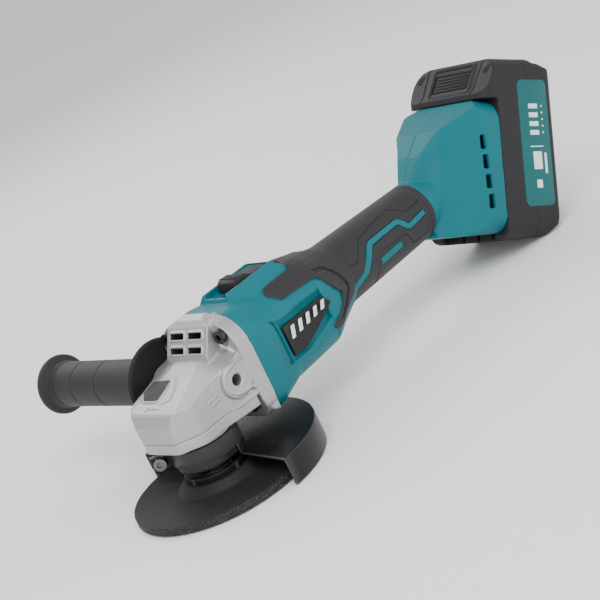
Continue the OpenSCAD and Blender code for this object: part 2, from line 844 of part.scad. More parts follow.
module fan() {
    blades = 11;
    color([0.2, 0.2, 0.2]) at_axis() difference() {
        union() {
            rod_x(fan_x, 1.8, 26);
            rod_x(fan_x, 9, 8);
            for (i = [0 : blades - 1]) rotate([i * 360 / blades, 0, 0])
                translate([fan_x + 1.7, 10, -0.8]) cube([6.5, 15, 1.6]);
        }
        rod_x(0, 100, shaft_r);
    }
}

module front_bearing_outer() {
    color("silver") at_axis() rotate([0, 90, 0]) race_outer(29.7, 8, 13, 9, 2.3);
}

module front_bearing_inner() {
    color("silver") at_axis() rotate([0, 90, 0]) race_inner(29.7, 8, 5, 9, 2.3, 8);
}

module rear_bearing_outer() {
    color("silver") at_axis() rotate([0, 90, 0]) race_outer(92, 7, 11, 7.6, 1.9);
}

module rear_bearing_inner() {
    color("silver") at_axis() rotate([0, 90, 0]) race_inner(92, 7, shaft_r, 7.6, 1.9, 8);
}

// Laminated ring with six inward poles.
module stator_core() {
    color([0.5, 0.5, 0.52]) at_axis() {
        tube_x(motor_front_x, motor_len, 25, 21.5);
        for (i = [0 : 5]) rotate([i * 60, 0, 0]) {
            translate([motor_front_x, 16, -2.5]) cube([motor_len, 6, 5]);
            translate([motor_front_x, 13.8, -5]) cube([motor_len, 2.3, 10]);
        }
    }
}

module stator_coils() {
    color([0.72, 0.42, 0.2]) at_axis() for (i = [0 : 5]) rotate([i * 60, 0, 0]) difference() {
        translate([motor_front_x - 2.4, 16.2, -5]) cube([motor_len + 4.8, 4.4, 10]);
        translate([motor_front_x - 0.05, 10, -2.55]) cube([motor_len + 0.1, 20, 5.1]);
    }
}

// Frame that holds the stator in the housing and the rear bearing on the shaft's axis.
module motor_sleeve() {
    color([0.25, 0.25, 0.26]) at_axis() {
        difference() {
            tube_x(motor_front_x - 1, 45, motor_cavity_r - 0.05, 25);
            translate([motor_front_x - 2, -4, 20]) cube([50, 8, 20]);
        }
        difference() {
            tube_x(92, 7, 25.1, 11);
            for (i = [0 : 5]) rotate([i * 60, 0, 0]) translate([90, 14, -4]) cube([15, 8, 8]);
        }
    }
}

module fan_baffle() {
    color([0.2, 0.2, 0.2]) at_axis() difference() {
        tube_x(40.8, 2.2, motor_cavity_r - 0.05, 14);
        for (i = [0 : 7]) rotate([i * 45, 0, 0]) translate([42, 22, 0]) cube([10, 6, 6], center = true);
    }
}

module control_board() {
    color([0.1, 0.35, 0.2]) at_axis() {
        translate([150, -13, -1]) cube([60, 26, 1.6]);
        for (i = [0 : 2]) translate([156 + i * 14, -9, 0.6]) cube([9, 7, 3.5]);
        translate([192, 4, 0.6]) cube([8, 8, 7]);
        translate([160, 3, 0.6]) cube([14, 6, 2]);
    }
}

// ---------- foot and terminals ----------

// T-shaped foot that the pack slides onto, drawn in the pack's frame.
module terminal_block() {
    color([0.15, 0.15, 0.16]) at_pack() difference() {
        union() {
            translate([-3.4, -foot_half_w + 6.2, -43.8]) cube([3.5, 2 * foot_half_w - 12.4, 61.6]);
            translate([0.05, -foot_half_w + 3, -48]) cube([5, 2 * foot_half_w - 6, 70]);
            translate([5, -foot_half_w, -48]) cube([foot_depth - 5, 2 * foot_half_w, 70]);
        }
        for (i = [-1 : 1]) translate([-5, i * 14 - 0.42, -20.05]) cube([20, 0.84, 18.1]);
    }
}

module terminal_blades() {
    color("goldenrod") at_pack() for (i = [-1 : 1]) translate([-3, i * 14 - 0.4, -20]) cube([16, 0.8, 18]);
}

// ---------- battery pack ----------

// The whole outside of the pack, drawn in the pack's frame.
module pack_body(shrink) {
    front = seam_gap;
    intersection() {
        prism_y(2 * pack_half_w - 2 * shrink) offset(delta = -shrink) polygon([
            [front, pack_bottom_z + 2], [front + 2, pack_bottom_z], [40, pack_bottom_z], [51, -54], [pack_depth, -42],
            [pack_depth, 46], [53, 52.5], [45, 56.5], [41, 57], [39.5, pack_top_z], [4.5, pack_top_z],
            [1.5, 58], [-8, 40.5], [-12, 37], [-12, 32.9], [front, 32.9]]);
        translate([0, 0, -100]) linear_extrude(200) offset(r = 8 - shrink, $fn = 32)
            polygon([[-4, -pack_half_w + 8], [pack_depth - 8, -pack_half_w + 8],
                     [pack_depth - 8, pack_half_w - 8], [-4, pack_half_w - 8]]);
        prism_x(-30, 100) rounded_outline(pack_half_w, pack_bottom_z, pack_top_z, 9, 12, shrink);
    }
}

// The T-slot that the foot slides through; it is open at the pack's lower end.
module pack_slot() {
    gap = 0.4;
    translate([-5, -foot_half_w + 3 - gap, -80]) cube([10, 2 * foot_half_w - 6 + 2 * gap, 104]);
    translate([5 - gap, -foot_half_w - gap, -80]) cube([foot_depth - 5 + 2 * gap, 2 * foot_half_w + 2 * gap, 104]);
    for (i = [-1 : 1]) translate([8, i * 14 - 1.5, -80]) cube([5.8, 3, 84]);
    for (i = [-1 : 1]) translate([13, i * 14 - 1.5, -19]) cube([5, 3, 16]);
}

module pack_room() {
    difference() {
        pack_body(2.4);
        translate([-20, -50, -80]) cube([36.5, 100, 160]);
        at_pack_screws() cylinder(h = 30, r = 4.2, center = true);
    }
}

module label_recess(side, gap) {
    translate([20 - gap, side > 0 ? pack_half_w - 0.6 : -pack_half_w - 1, -41 - gap])
        cube([29 + 2 * gap, 1.6, 86 + 2 * gap]);
}

module pack_solid() {
    difference() {
        pack_body(0);
        pack_slot();
        pack_room();
        button_room();
        for (side = [-1, 1]) label_recess(side, 0.1);
        at_pack_screws() translate([0, 0, -15]) cylinder(h = 20, r = 1.7);
        at_pack_screws() translate([0, 0, -60]) cylinder(h = 46, r = 2.8);
    }
}

// Places of the four case screws, along the pack's depth.
module at_pack_screws() {
    for (sy = [-1, 1]) for (z = [-55, 53]) translate([pack_seam_x, sy * 31, z]) rotate([0, 90, 0]) children();
}

module battery_front() {
    color([0.27, 0.27, 0.28]) at_pack() intersection() {
        pack_solid();
        translate([-50, -60, -100]) cube([50 + pack_seam_x - 0.05, 120, 200]);
    }
}

module battery_case() {
    color([0.25, 0.25, 0.26]) at_pack() intersection() {
        pack_solid();
        translate([pack_seam_x + 0.05, -60, -100]) cube([60, 120, 200]);
    }
}

module battery_label(side) {
    color([0, 0.45, 0.45]) at_pack() translate([20, side > 0 ? pack_half_w - 0.55 : -pack_half_w + 0.05, -41])
        rotate([90, 0, 0]) translate([0, 0, -0.5]) linear_extrude(0.5)
            translate([4, 4]) offset(r = 4, $fn = 32) square([21, 78]);
}

module battery_label_right() { battery_label(-1); }

module battery_label_left() { battery_label(1); }

// Well for the release button in the sloping front of the cap.
module button_room() {
    translate([-3.2, 0, 49]) rotate([0, 28.5, 0]) translate([-20, -17.3, -8.3]) cube([27, 34.6, 16.6]);
}

module battery_button() {
    color([0.22, 0.22, 0.23]) at_pack() translate([-3.2, 0, 49]) rotate([0, 28.5, 0]) difference() {
        union() {
            translate([0.6, -17, -8]) cube([2.8, 34, 16]);
            translate([-0.4, -17, 5]) cube([1.1, 34, 3]);
            for (i = [0 : 4]) translate([-0.4, -15, -7.4 + i * 2.4]) cube([1.1, 30, 1.1]);
        }
        translate([2, -14, -5]) cube([5, 28, 10]);
    }
}

module battery_cells() {
    color([0.2, 0.5, 0.75]) at_pack() for (i = [0 : cell_count - 1])
        translate([cell_x, 0, cell_mid_z + (i - (cell_count - 1) / 2) * cell_pitch]) {
            rod_y(-cell_len / 2, cell_len - 1, cell_d / 2);
            rod_y(cell_len / 2 - 1.1, 1.1, 3);
        }
}

module cell_holder() {
    color([0.12, 0.12, 0.13]) at_pack() difference() {
        for (side = [-1, 1]) translate([cell_x - 10, side * 25 - 4, cell_mid_z - 48.5]) cube([20.5, 8, 97]);
        for (i = [0 : cell_count - 1])
            translate([cell_x, 0, cell_mid_z + (i - (cell_count - 1) / 2) * cell_pitch]) rod_y(-40, 80, cell_d / 2 + running_gap);
    }
}

module battery_board() {
    color([0.1, 0.35, 0.2]) at_pack() {
        translate([22, -25, -45]) cube([1.6, 50, 88]);
        translate([23.5, -15, 20]) cube([3, 12, 12]);
    }
}

module battery_contacts() {
    color("goldenrod") at_pack() for (i = [-1 : 1]) for (s = [-1, 1])
        translate([9.4, i * 14 + s * 1.05 - 0.25, -18]) cube([12.5, 0.5, 14]);
}

module battery_screws() {
    color("black") at_pack() for (sy = [-1, 1]) for (z = [-55, 53])
        translate([pack_seam_x - 14, sy * 31, z]) rotate([0, -90, 0]) screw(2.6, 2, 1.65, 16);
}

// ---------- parts ----------

gear_case();
bearing_retainer();
retainer_screws();
front_screws();
lock_button();
lock_pin();
lock_spring();
spindle();
spindle_bearing_outer();
spindle_bearing_inner();
spindle_top_bush();
crown_gear();
gear_clip();
spindle_seal();
inner_flange();
grinding_wheel();
lock_nut();
wheel_guard();
guard_clamp();
guard_screw();
guard_nut();
handle_grip();
handle_stud();
housing_right();
housing_left();
grip_rubber_right();
grip_rubber_left();
side_badge_right();
side_badge_left();
housing_screws();
switch_slider();
switch_rod();
switch_module();
pinion();
rotor_shaft();
rotor_magnet();
fan();
front_bearing_outer();
front_bearing_inner();
rear_bearing_outer();
rear_bearing_inner();
stator_core();
stator_coils();
motor_sleeve();
fan_baffle();
control_board();
terminal_block();
terminal_blades();
battery_front();
battery_case();
battery_label_right();
battery_label_left();
battery_button();
battery_cells();
cell_holder();
battery_board();
battery_contacts();
battery_screws();
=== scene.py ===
"""Looks of the cordless angle grinder: cast, moulded, rubber and abrasive surfaces built round the CAD frame."""
import json
import math
import bmesh
import bpy
from mathutils import Matrix, Vector
from mathutils.bvhtree import BVHTree


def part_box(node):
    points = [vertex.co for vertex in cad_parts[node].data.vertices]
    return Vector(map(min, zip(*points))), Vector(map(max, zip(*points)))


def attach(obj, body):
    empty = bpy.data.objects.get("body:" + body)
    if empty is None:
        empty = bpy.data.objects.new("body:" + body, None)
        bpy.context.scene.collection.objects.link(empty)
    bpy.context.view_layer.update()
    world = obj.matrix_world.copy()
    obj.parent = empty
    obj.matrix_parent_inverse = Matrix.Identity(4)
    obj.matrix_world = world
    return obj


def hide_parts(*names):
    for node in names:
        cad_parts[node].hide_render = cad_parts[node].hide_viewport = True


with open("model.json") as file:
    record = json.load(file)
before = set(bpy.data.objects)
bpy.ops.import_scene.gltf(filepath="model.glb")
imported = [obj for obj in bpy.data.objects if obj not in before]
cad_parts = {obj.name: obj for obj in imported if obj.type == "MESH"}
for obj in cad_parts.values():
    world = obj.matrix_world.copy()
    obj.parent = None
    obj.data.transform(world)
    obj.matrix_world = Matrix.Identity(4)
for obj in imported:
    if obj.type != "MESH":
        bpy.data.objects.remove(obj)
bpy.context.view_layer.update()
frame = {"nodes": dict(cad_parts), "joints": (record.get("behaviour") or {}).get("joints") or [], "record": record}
NODES = frame["nodes"]
MM = 0.001
FACE_LIMIT = 190_000  # triangles in one piece


def detail(full, quick):
    return full


def mid(node):
    low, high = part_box(node)
    return (low + high) / 2


# ---------- places taken from the frame ----------

AXIS_Z = mid("rotor_magnet").z
HANDLE = mid("handle_stud")
PACK_AXIS = Vector([j for j in frame["joints"] if j["name"] == "battery_slide"][0]["axis"])
TILT = math.atan2(PACK_AXIS.x, PACK_AXIS.z)
PACK_BASIS = Matrix.Rotation(TILT, 3, "Y")
BLADES_IN_PACK = Vector((5, 0, -11)) * MM
PACK_ORIGIN = mid("terminal_blades") - PACK_BASIS @ BLADES_IN_PACK
CASE_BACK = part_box("gear_case")[1].x / MM
HANDLE_X = HANDLE.x / MM
HANDLE_Z = (HANDLE.z - AXIS_Z) / MM


def at_axis(x, y, z):
    """Millimetres from the spot where the motor axis crosses the spindle axis."""
    return Vector((x * MM, y * MM, z * MM + AXIS_Z))


def at_pack(x, y, z):
    """Millimetres in the leaning frame of the battery pack."""
    return PACK_ORIGIN + PACK_BASIS @ Vector((x * MM, y * MM, z * MM))


# ---------- mesh tools ----------

def make(name, verts, faces, smooth=True):
    mesh = bpy.data.meshes.new(name)
    mesh.from_pydata([tuple(v) for v in verts], [], faces)
    bm = bmesh.new()
    bm.from_mesh(mesh)
    bmesh.ops.remove_doubles(bm, verts=bm.verts, dist=1e-7)
    bmesh.ops.recalc_face_normals(bm, faces=bm.faces)
    bm.to_mesh(mesh)
    bm.free()
    obj = bpy.data.objects.new(name, mesh)
    bpy.context.scene.collection.objects.link(obj)
    mesh.polygons.foreach_set("use_smooth", [smooth] * len(mesh.polygons))
    return obj


def from_node(*nodes, name=None):
    """A new object with the surface of one or more CAD nodes."""
    bm = bmesh.new()
    for node in nodes:
        bm.from_mesh(NODES[node].data)
    bmesh.ops.remove_doubles(bm, verts=bm.verts, dist=1e-6)
    mesh = bpy.data.meshes.new(name or "look_" + nodes[0])
    bm.to_mesh(mesh)
    bm.free()
    obj = bpy.data.objects.new(mesh.name, mesh)
    bpy.context.scene.collection.objects.link(obj)
    return obj


def add_to(obj, *others):
    """Puts the others' surfaces into obj's mesh and removes them."""
    bm = bmesh.new()
    bm.from_mesh(obj.data)
    for other in others:
        bm.from_mesh(other.data)
        bpy.data.objects.remove(other)
    bm.to_mesh(obj.data)
    bm.free()
    return obj


def settle(obj):
    """Applies the modifiers of obj."""
    deps = bpy.context.evaluated_depsgraph_get()
    mesh = bpy.data.meshes.new_from_object(obj.evaluated_get(deps))
    mesh.name = obj.name
    obj.modifiers.clear()
    obj.data = mesh
    return obj


def soften(obj, voxel, rounds, strength=0.5):
    """Rebuilds the surface on an even grid and rounds its edges, as casting and moulding do."""
    m = obj.modifiers.new("grid", "REMESH")
    m.mode = "VOXEL"
    m.voxel_size = voxel * MM
    m.use_smooth_shade = True
    s = obj.modifiers.new("round", "SMOOTH")
    s.factor = strength
    s.iterations = rounds
    return settle(obj)


def cut(obj, *cutters, operation="DIFFERENCE"):
    for cutter in cutters:
        m = obj.modifiers.new("cut", "BOOLEAN")
        m.operation = operation
        m.solver = "MANIFOLD"
        m.object = cutter
        before = len(obj.data.polygons)
        settle(obj)
        if not len(obj.data.polygons):
            raise RuntimeError(f"cutting {obj.name} with {cutter.name} left nothing of {before}")
        bpy.data.objects.remove(cutter)
    obj.data.polygons.foreach_set("use_smooth", [True] * len(obj.data.polygons))
    return obj


def thinned(obj):
    """Merges the flattest faces of a piece until it is under the face limit."""
    obj.data.calc_loop_triangles()
    count = len(obj.data.loop_triangles)
    if count > FACE_LIMIT:
        m = obj.modifiers.new("thin", "DECIMATE")
        m.ratio = FACE_LIMIT / count
        settle(obj)
    return obj


def crisp(obj, degrees=35):
    """Smooth shading that stays sharp at edges steeper than this."""
    bm = bmesh.new()
    bm.from_mesh(obj.data)
    for e in bm.edges:
        e.smooth = not (len(e.link_faces) == 2 and e.calc_face_angle(0) > math.radians(degrees))
    bm.to_mesh(obj.data)
    bm.free()
    obj.data.polygons.foreach_set("use_smooth", [True] * len(obj.data.polygons))
    return obj


def bevelled(obj, width, segments=2, degrees=30):
    m = obj.modifiers.new("edge", "BEVEL")
    m.width = width * MM
    m.segments = segments
    m.limit_method = "ANGLE"
    m.angle_limit = math.radians(degrees)
    m.harden_normals = False
    settle(obj)
    return crisp(obj, 50)


def lathe(name, profile, place, steps=96):
    """Turns a profile of (radius, height) about an axis; place maps (u, v, height) to a point."""
    verts, faces = [], []
    n = len(profile)
    for i in range(steps):
        a = 2 * math.pi * i / steps
        for r, h in profile:
            verts.append(place(r * math.cos(a), r * math.sin(a), h))
    for i in range(steps):
        j = (i + 1) % steps
        for k in range(n):
            m = (k + 1) % n
            faces.append((i * n + k, i * n + m, j * n + m, j * n + k))
    return make(name, verts, faces)


def rounded(points, radius, steps=4):
    """A closed outline with its corners rounded."""
    out = []
    n = len(points)
    for i in range(n):
        p = Vector(points[i])
        a = Vector(points[i - 1]) - p
        b = Vector(points[(i + 1) % n]) - p
        reach = min(radius, a.length * 0.45, b.length * 0.45)
        p0, p2 = p + a.normalized() * reach, p + b.normalized() * reach
        for k in range(steps + 1):
            t = k / steps
            out.append((1 - t) ** 2 * p0 + 2 * t * (1 - t) * p + t * t * p2)
    return out


def slab(name, outline, place, low, high, step=None):
    """A solid between two heights over an outline; place maps (u, v, height) to a point."""
    pts = [Vector(p) for p in outline]
    if step:
        fine = []
        for i, p in enumerate(pts):
            q = pts[(i + 1) % len(pts)]
            k = max(1, int((q - p).length / step))
            fine += [p.lerp(q, t / k) for t in range(k)]
        pts = fine
    bm = bmesh.new()
    top = [bm.verts.new(place(p[0], p[1], high)) for p in pts]
    bottom = [bm.verts.new(place(p[0], p[1], low)) for p in pts]
    n = len(pts)
    for i in range(n):
        bm.faces.new((top[i], top[(i + 1) % n], bottom[(i + 1) % n], bottom[i]))
    f1, f2 = bm.faces.new(top), bm.faces.new(bottom)
    bmesh.ops.triangulate(bm, faces=[f1, f2])
    bmesh.ops.recalc_face_normals(bm, faces=bm.faces)
    mesh = bpy.data.meshes.new(name)
    bm.to_mesh(mesh)
    bm.free()
    obj = bpy.data.objects.new(name, mesh)
    bpy.context.scene.collection.objects.link(obj)
    return obj


def pipe(name, path, radius, sides=10, closed=False):
    """A round bead along a path of points."""
    pts = [Vector(p) for p in path]
    n = len(pts)
    verts, faces = [], []
    side = None
    for i, p in enumerate(pts):
        a = pts[i - 1] if (closed or i) else p
        b = pts[(i + 1) % n] if (closed or i < n - 1) else p
        d = (b - a).normalized()
        if side is None:
            side = d.orthogonal().normalized()
        side = (side - d * side.dot(d)).normalized()
        up = d.cross(side)
        for k in range(sides):
            t = 2 * math.pi * k / sides
            verts.append(p + (side * math.cos(t) + up * math.sin(t)) * radius * MM)
    for i in range(n if closed else n - 1):
        j = (i + 1) % n
        for k in range(sides):
            m = (k + 1) % sides
            faces.append((i * sides + k, i * sides + m, j * sides + m, j * sides + k))
    if not closed:
        faces.append(tuple(range(sides)))
        faces.append(tuple((n - 1) * sides + k for k in reversed(range(sides))))
    return make(name, verts, faces)


def dense(points, step):
    """Points along a line, no further apart than step."""
    out = []
    for p, q in zip(points, points[1:]):
        p, q = Vector(p), Vector(q)
        k = max(1, math.ceil((q - p).length / step))
        out += [p.lerp(q, t / k) for t in range(k)]
    return out + [Vector(points[-1])]


def eased(points, radius, steps=5):
    """An open line with its corners rounded."""
    pts = [Vector(p) for p in points]
    out = [pts[0]]
    for a, p, b in zip(pts, pts[1:], pts[2:]):
        u, w = a - p, b - p
        reach = min(radius, u.length * 0.45, w.length * 0.45)
        p0, p2 = p + u.normalized() * reach, p + w.normalized() * reach
        out += [(1 - t) ** 2 * p0 + 2 * t * (1 - t) * p + t * t * p2 for t in [k / steps for k in range(steps + 1)]]
    return out + [pts[-1]]


def band(name, line, width, place, low, high, step=0.8):
    """A flat strip of even width along a line in (u, v), as a solid between two heights."""
    pts = dense(eased(line, width * 0.6), step)
    left, right = [], []
    for i, p in enumerate(pts):
        a = pts[max(i - 1, 0)]
        b = pts[min(i + 1, len(pts) - 1)]
        d = (b - a).normalized()
        n = Vector((-d.y, d.x))
        left.append(p + n * width / 2)
        right.append(p - n * width / 2)
    verts, faces = [], []
    for l, r in zip(left, right):
        verts += [place(l.x, l.y, high), place(r.x, r.y, high), place(r.x, r.y, low), place(l.x, l.y, low)]
    n = len(pts)
    for i in range(n - 1):
        for k in range(4):
            m = (k + 1) % 4
            faces.append((4 * i + k, 4 * i + m, 4 * (i + 1) + m, 4 * (i + 1) + k))
    faces += [(0, 1, 2, 3), (4 * n - 1, 4 * n - 2, 4 * n - 3, 4 * n - 4)]
    return make(name, verts, faces)


# ---------- materials ----------

class Nodes:
    """A small helper that builds one node material."""

    def __init__(self, name, color, roughness, metallic=0.0, **sockets):
        self.mat = bpy.data.materials.new(name)
        self.mat.use_nodes = True
        self.tree = self.mat.node_tree
        self.bsdf = self.tree.nodes["Principled BSDF"]
        self.bsdf.inputs["Base Color"].default_value = (*color, 1)
        self.bsdf.inputs["Roughness"].default_value = roughness
        self.bsdf.inputs["Metallic"].default_value = metallic
        for key, value in sockets.items():
            self.bsdf.inputs[key.replace("_", " ")].default_value = value
        self.color = color
        self.coord = self.new("ShaderNodeTexCoord").outputs["Object"]
        self.normal = None
        self.tint = None

    def new(self, kind, **values):
        node = self.tree.nodes.new(kind)
        for key, value in values.items():
            if key in node.inputs:
                node.inputs[key].default_value = value
            else:
                setattr(node, key, value)
        return node

    def link(self, a, b):
        self.tree.links.new(a, b)

    def noise(self, scale, detail=4.0, rough=0.55, stretch=None, distortion=0.0):
        """Noise with scale features per metre."""
        node = self.new("ShaderNodeTexNoise")
        node.inputs["Scale"].default_value = scale
        node.inputs["Detail"].default_value = detail
        node.inputs["Roughness"].default_value = rough
        node.inputs["Distortion"].default_value = distortion
        source = self.coord
        if stretch:
            mapping = self.new("ShaderNodeMapping")
            mapping.inputs["Scale"].default_value = stretch
            self.link(self.coord, mapping.inputs["Vector"])
            source = mapping.outputs["Vector"]
        self.link(source, node.inputs["Vector"])
        return node.outputs["Fac"]

    def ramp(self, source, low, high, a=0.0, b=1.0):
        node = self.new("ShaderNodeMapRange")
        node.inputs["From Min"].default_value = low
        node.inputs["From Max"].default_value = high
        node.inputs["To Min"].default_value = a
        node.inputs["To Max"].default_value = b
        self.link(source, node.inputs["Value"])
        return node.outputs["Result"]

    def vary(self, mask, color, amount=1.0):
        """Mixes a second colour in where mask is high."""
        mix = self.new("ShaderNodeMix", data_type="RGBA")
        if self.tint is None:
            mix.inputs["A"].default_value = (*self.color, 1)
        else:
            self.link(self.tint, mix.inputs["A"])
        mix.inputs["B"].default_value = (*color, 1)
        self.link(self.ramp(mask, 0, 1, 0, amount), mix.inputs["Factor"])
        self.tint = mix.outputs["Result"]
        self.link(self.tint, self.bsdf.inputs["Base Color"])

    def vary_roughness(self, mask, low, high):
        self.link(self.ramp(mask, 0, 1, low, high), self.bsdf.inputs["Roughness"])

    def bump(self, height, distance, strength=1.0):
        node = self.new("ShaderNodeBump")
        node.inputs["Strength"].default_value = strength
        node.inputs["Distance"].default_value = distance * MM
        self.link(height, node.inputs["Height"])
        if self.normal is not None:
            self.link(self.normal, node.inputs["Normal"])
        self.normal = node.outputs["Normal"]
        self.link(self.normal, self.bsdf.inputs["Normal"])

    def edge_highlight(self, color, amount=0.6, low=0.52, high=0.6):
        """Lightens the outer edges of the shape: a painted highlight where light catches them."""
        geometry = self.new("ShaderNodeNewGeometry")
        self.vary(self.ramp(geometry.outputs["Pointiness"], low, high), color, amount)


def mould_plastic(name, color, roughness, grain=2600, depth=0.03, lift=1.5, highlight=0.35, gloss=0.3):
    m = Nodes(name, color, roughness, Specular_IOR_Level=gloss)
    broad = m.noise(18, 3)
    light = tuple(min(1, c * lift + 0.01) for c in color)
    dark = tuple(c * 0.82 for c in color)
    m.vary(m.ramp(broad, 0.35, 0.7), dark, 0.6)
    m.vary(m.ramp(m.noise(900, 5, 0.7), 0.5, 0.75), light, 0.14)
    # painted highlight on the outer edges
    m.edge_highlight(light, highlight)
    fine = m.noise(grain, 3, 0.6)
    m.vary_roughness(m.ramp(fine, 0.3, 0.7), roughness - 0.07, roughness + 0.08)
    m.bump(fine, depth)
    m.bump(m.noise(60, 2), 0.05, 0.5)
    return m.mat


def cast_metal(name, color, roughness=0.42):
    m = Nodes(name, color, roughness, 0.72)
    m.vary(m.ramp(m.noise(40, 4), 0.35, 0.7), tuple(c * 0.88 for c in color), 0.6)
    speck = m.noise(950, 6, 0.8)
    m.vary(m.ramp(speck, 0.52, 0.72), tuple(c * 0.5 for c in color), 0.55)
    m.vary(m.ramp(m.noise(1300, 5, 0.85), 0.54, 0.68), (1, 1, 1), 0.45)
    # painted highlight on the outer edges
    m.edge_highlight((0.95, 0.95, 0.95), 0.5)
    m.vary_roughness(m.ramp(speck, 0.35, 0.7), roughness - 0.1, roughness + 0.16)
    m.bump(speck, 0.22)
    m.bump(m.noise(260, 3), 0.06, 0.7)
    return m.mat


def plain_metal(name, color, roughness, turned=(1, 1, 1), scratch=0.02, metallic=1.0):
    m = Nodes(name, color, roughness, metallic)
    m.vary(m.ramp(m.noise(90, 4), 0.35, 0.7), tuple(c * 0.75 for c in color), 0.5)
    lines = m.noise(700, 4, 0.7, stretch=turned)
    m.vary(m.ramp(lines, 0.5, 0.75), tuple(min(1, c * 1.35) for c in color), 0.35)
    m.vary_roughness(m.ramp(lines, 0.3, 0.7), max(0.05, roughness - 0.08), roughness + 0.12)
    m.bump(lines, scratch)
    return m.mat


def coated_steel(name):
    m = Nodes(name, (0.0045, 0.0045, 0.005), 0.4, 0.0, Specular_IOR_Level=0.25)
    orange = m.noise(700, 3, 0.6)
    m.vary(m.ramp(m.noise(35, 4), 0.4, 0.7), (0.008, 0.008, 0.009), 0.7)
    m.vary(m.ramp(m.noise(2500, 5, 0.8), 0.56, 0.7), (0.04, 0.04, 0.043), 0.3)
    # painted highlight on the outer edges, such as the guard's fold
    m.edge_highlight((0.30, 0.30, 0.31), 0.75, 0.53, 0.62)
    m.vary_roughness(m.ramp(orange, 0.3, 0.7), 0.26, 0.44)
    m.bump(orange, 0.03)
    return m.mat


def abrasive(name):
    """Dark bonded grit, smooth with faint streaks on the faces and coarse at the rim, whose light flecks are partly
    grey grit and partly painted glints.
    """
    m = Nodes(name, (0.014, 0.0135, 0.014), 0.75, 0.0, Specular_IOR_Level=0.2)
    centre = m.new("ShaderNodeCombineXYZ")
    split = m.new("ShaderNodeSeparateXYZ")
    m.link(m.coord, split.inputs["Vector"])
    m.link(split.outputs["X"], centre.inputs["X"])
    m.link(split.outputs["Y"], centre.inputs["Y"])
    length = m.new("ShaderNodeVectorMath", operation="LENGTH")
    m.link(centre.outputs["Vector"], length.inputs[0])
    radius = length.outputs["Value"]
    rim = m.ramp(radius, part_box("grinding_wheel")[1].x - 0.9 * MM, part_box("grinding_wheel")[1].x - 0.2 * MM)
    grit = m.noise(1300, 4, 0.7)
    coarse = m.new("ShaderNodeTexVoronoi")
    coarse.inputs["Scale"].default_value = 1500
    m.link(m.coord, coarse.inputs["Vector"])
    m.vary(m.ramp(m.noise(30, 5, 0.6), 0.35, 0.68), (0.025, 0.024, 0.023), 0.8)
    m.vary(m.ramp(grit, 0.53, 0.7), (0.055, 0.053, 0.053), 0.55)
    # light flecks at the rim: grey grit with painted glints
    both = m.new("ShaderNodeMath", operation="MULTIPLY")
    m.link(rim, both.inputs[0])
    m.link(m.ramp(coarse.outputs["Distance"], 0.32, 0.12), both.inputs[1])
    m.vary(both.outputs["Value"], (0.30, 0.29, 0.29), 0.8)
    m.vary_roughness(m.ramp(grit, 0.35, 0.65), 0.42, 0.8)
    m.bump(grit, 0.12)
    deep = m.new("ShaderNodeMath", operation="MULTIPLY")
    m.link(rim, deep.inputs[0])
    m.link(coarse.outputs["Distance"], deep.inputs[1])
    m.bump(deep.outputs["Value"], 0.5)
    return m.mat


def soft_rubber(name, color, grain=1900):
    m = Nodes(name, color, 0.62, 0.0, Specular_IOR_Level=0.28, Sheen_Weight=0.05, Sheen_Roughness=0.5)
    m.vary(m.ramp(m.noise(22, 4), 0.35, 0.7), tuple(c * 0.8 for c in color), 0.6)
    fine = m.noise(grain, 4, 0.65)
    m.vary(m.ramp(fine, 0.5, 0.72), tuple(min(1, c * 1.6) for c in color), 0.22)
    # painted highlight on the outer edges
    m.edge_highlight(tuple(min(1, c * 1.9 + 0.02) for c in color), 0.4)
    m.vary_roughness(m.ramp(fine, 0.3, 0.7), 0.52, 0.72)
    m.bump(fine, 0.06)
    return m.mat


TEAL = (0.0, 0.135, 0.165)
MATS = {
    "cast_aluminium": cast_metal("cast_aluminium", (0.43, 0.43, 0.445)),
    "teal_plastic": mould_plastic("teal_plastic", TEAL, 0.45, lift=1.35, gloss=0.2),
    "grip_rubber": soft_rubber("grip_rubber", (0.022, 0.021, 0.024)),
    "charcoal_plastic": mould_plastic("charcoal_plastic", (0.019, 0.0185, 0.021), 0.52,
                                      lift=1.8, depth=0.05, gloss=0.22),
    "black_steel": coated_steel("black_steel"),
    "abrasive": abrasive("abrasive"),
    "badge_black": mould_plastic("badge_black", (0.010, 0.0095, 0.010), 0.55, grain=1100, depth=0.12, lift=3.0),
    "label_teal": mould_plastic("label_teal", (0.000, 0.105, 0.110), 0.38, depth=0.01, highlight=0.1),
    "label_white": mould_plastic("label_white", (0.80, 0.82, 0.82), 0.45, depth=0.01, highlight=0.0),
    "black_plastic": mould_plastic("black_plastic", (0.020, 0.020, 0.022), 0.45),
    "dark_steel": plain_metal("dark_steel", (0.050, 0.050, 0.055), 0.34, metallic=0.85),
    "polished_steel": plain_metal("polished_steel", (0.62, 0.62, 0.63), 0.22, turned=(1, 1, 8)),
    "zinc_steel": plain_metal("zinc_steel", (0.16, 0.16, 0.16), 0.36),
    "gear_steel": plain_metal("gear_steel", (0.30, 0.30, 0.31), 0.35),
    "bronze": plain_metal("bronze", (0.55, 0.33, 0.14), 0.4),
    "contact_metal": plain_metal("contact_metal", (0.75, 0.52, 0.22), 0.3),
    "laminations": plain_metal("laminations", (0.40, 0.40, 0.42), 0.4, turned=(9, 1, 1), scratch=0.15),
    "magnet": cast_metal("magnet", (0.24, 0.24, 0.26)),
    "winding": plain_metal("winding", (0.62, 0.26, 0.09), 0.3, turned=(1, 6, 6), scratch=0.3),
    "circuit_board": mould_plastic("circuit_board", (0.010, 0.110, 0.050), 0.35),
    "cell_wrap": mould_plastic("cell_wrap", (0.010, 0.120, 0.330), 0.25, depth=0.01),
    "seal_rubber": soft_rubber("seal_rubber", (0.008, 0.008, 0.009)),
}

